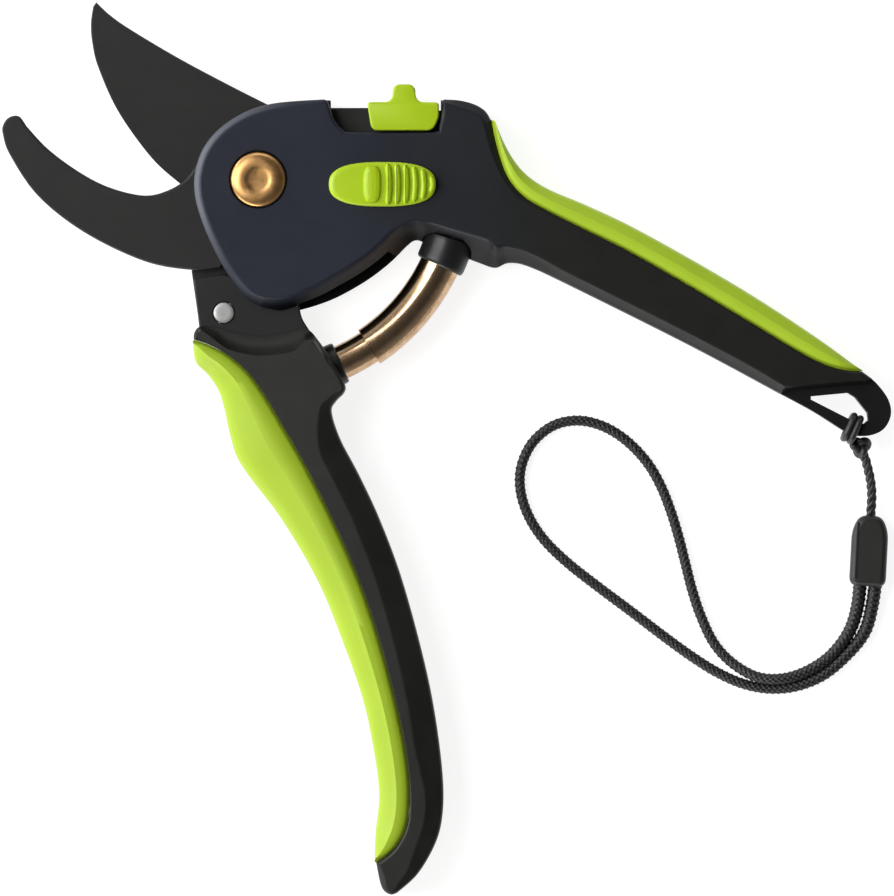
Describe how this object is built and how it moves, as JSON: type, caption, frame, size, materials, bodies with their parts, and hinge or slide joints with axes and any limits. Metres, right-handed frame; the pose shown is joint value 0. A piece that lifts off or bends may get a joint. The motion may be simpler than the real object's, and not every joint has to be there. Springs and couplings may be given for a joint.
{
  "type": "bypass pruner",
  "caption": "Bypass pruner held open, with a hooked jaw, a hinged cutting blade, a sprung telescopic guide, a sliding lock, soft grips and a braided wrist lanyard with a bead.",
  "frame": {"origin": "on the pivot axis, where it meets the plane of the back face", "axes": "+Z out of the front face, along the pivot axis; +X from the jaws towards the upper handle's head; +Y towards the back of the cutting blade; the lever hangs towards -Y"},
  "size_m": [0.1998, 0.2007, 0.0184],
  "materials": {
    "shell": "satin charcoal moulding with a cool rim",
    "handle": "satin black moulding",
    "grip": "matt lime soft grip",
    "button": "semi-gloss lime moulding",
    "blade": "black non-stick coat over ground steel",
    "copper": "satin copper-coloured anodise",
    "tube": "polished bronze-gold tube",
    "steel": "plain steel",
    "plastic": "black moulding",
    "cord": "braided black cord"
  },
  "bodies": {
    "upper_lever": {"front_shell": "shell", "back_shell": "shell", "upper_grip": "grip", "hook_jaw": "blade", "pivot_bolt": "copper", "bolt_washer": "steel", "pivot_bush": "steel", "pivot_nut": "steel", "spring_boot": "plastic", "return_spring": "steel", "shell_screw_1": "steel", "shell_screw_2": "steel", "shell_screw_3": "steel", "shell_screw_4": "steel", "lanyard_hitch": "cord", "lanyard_knot": "cord"},
    "lanyard": {"lanyard_leader": "cord", "lanyard_bead": "plastic", "wrist_loop": "cord"},
    "lower_lever": {"cutting_blade": "blade", "front_cheek": "blade", "back_cheek": "blade", "tang_rivet": "steel", "lever_handle": "handle", "lever_grip": "grip", "spring_collar": "plastic", "inner_tube": "tube"},
    "sleeve": {"spring_sleeve": "tube"},
    "lock": {"lock_slider": "button"},
    "selector": {"selector_button": "button", "selector_keeper": "plastic"}
  },
  "joints": [
    {"name": "lever_hinge", "type": "hinge", "parent": "upper_lever", "child": "lower_lever", "pos_m": [0, 0, 0], "axis": [0, 0, 1], "range_deg": [0, 36], "stiffness_Nm_per_rad": 0.8, "springref_deg": -20.05, "deforming": ["return_spring"]},
    {"name": "sleeve_glide", "type": "hinge", "parent": "upper_lever", "child": "sleeve", "pos_m": [0, 0, 0], "axis": [0, 0, 1], "range_deg": [0, 29.2]},
    {"name": "lanyard_lift", "type": "hinge", "parent": "upper_lever", "child": "lanyard", "pos_m": [0.1355, -0.06, 0.0076], "axis": [-0.8191, 0.5736, 0], "range_deg": [0, 44]},
    {"name": "lock_slide", "type": "slide", "parent": "upper_lever", "child": "lock", "axis": [-1, 0, 0], "range_m": [0, 0.0052]},
    {"name": "selector_slide", "type": "slide", "parent": "upper_lever", "child": "selector", "axis": [-1, 0, 0], "range_m": [0, 0.006]}
  ],
  "couplings": [
    {"joint": "sleeve_glide", "follows": "lever_hinge", "ratio": 0.81},
    {"joint": "lanyard_lift", "follows": "lever_hinge", "ratio": 1.2}
  ]
}
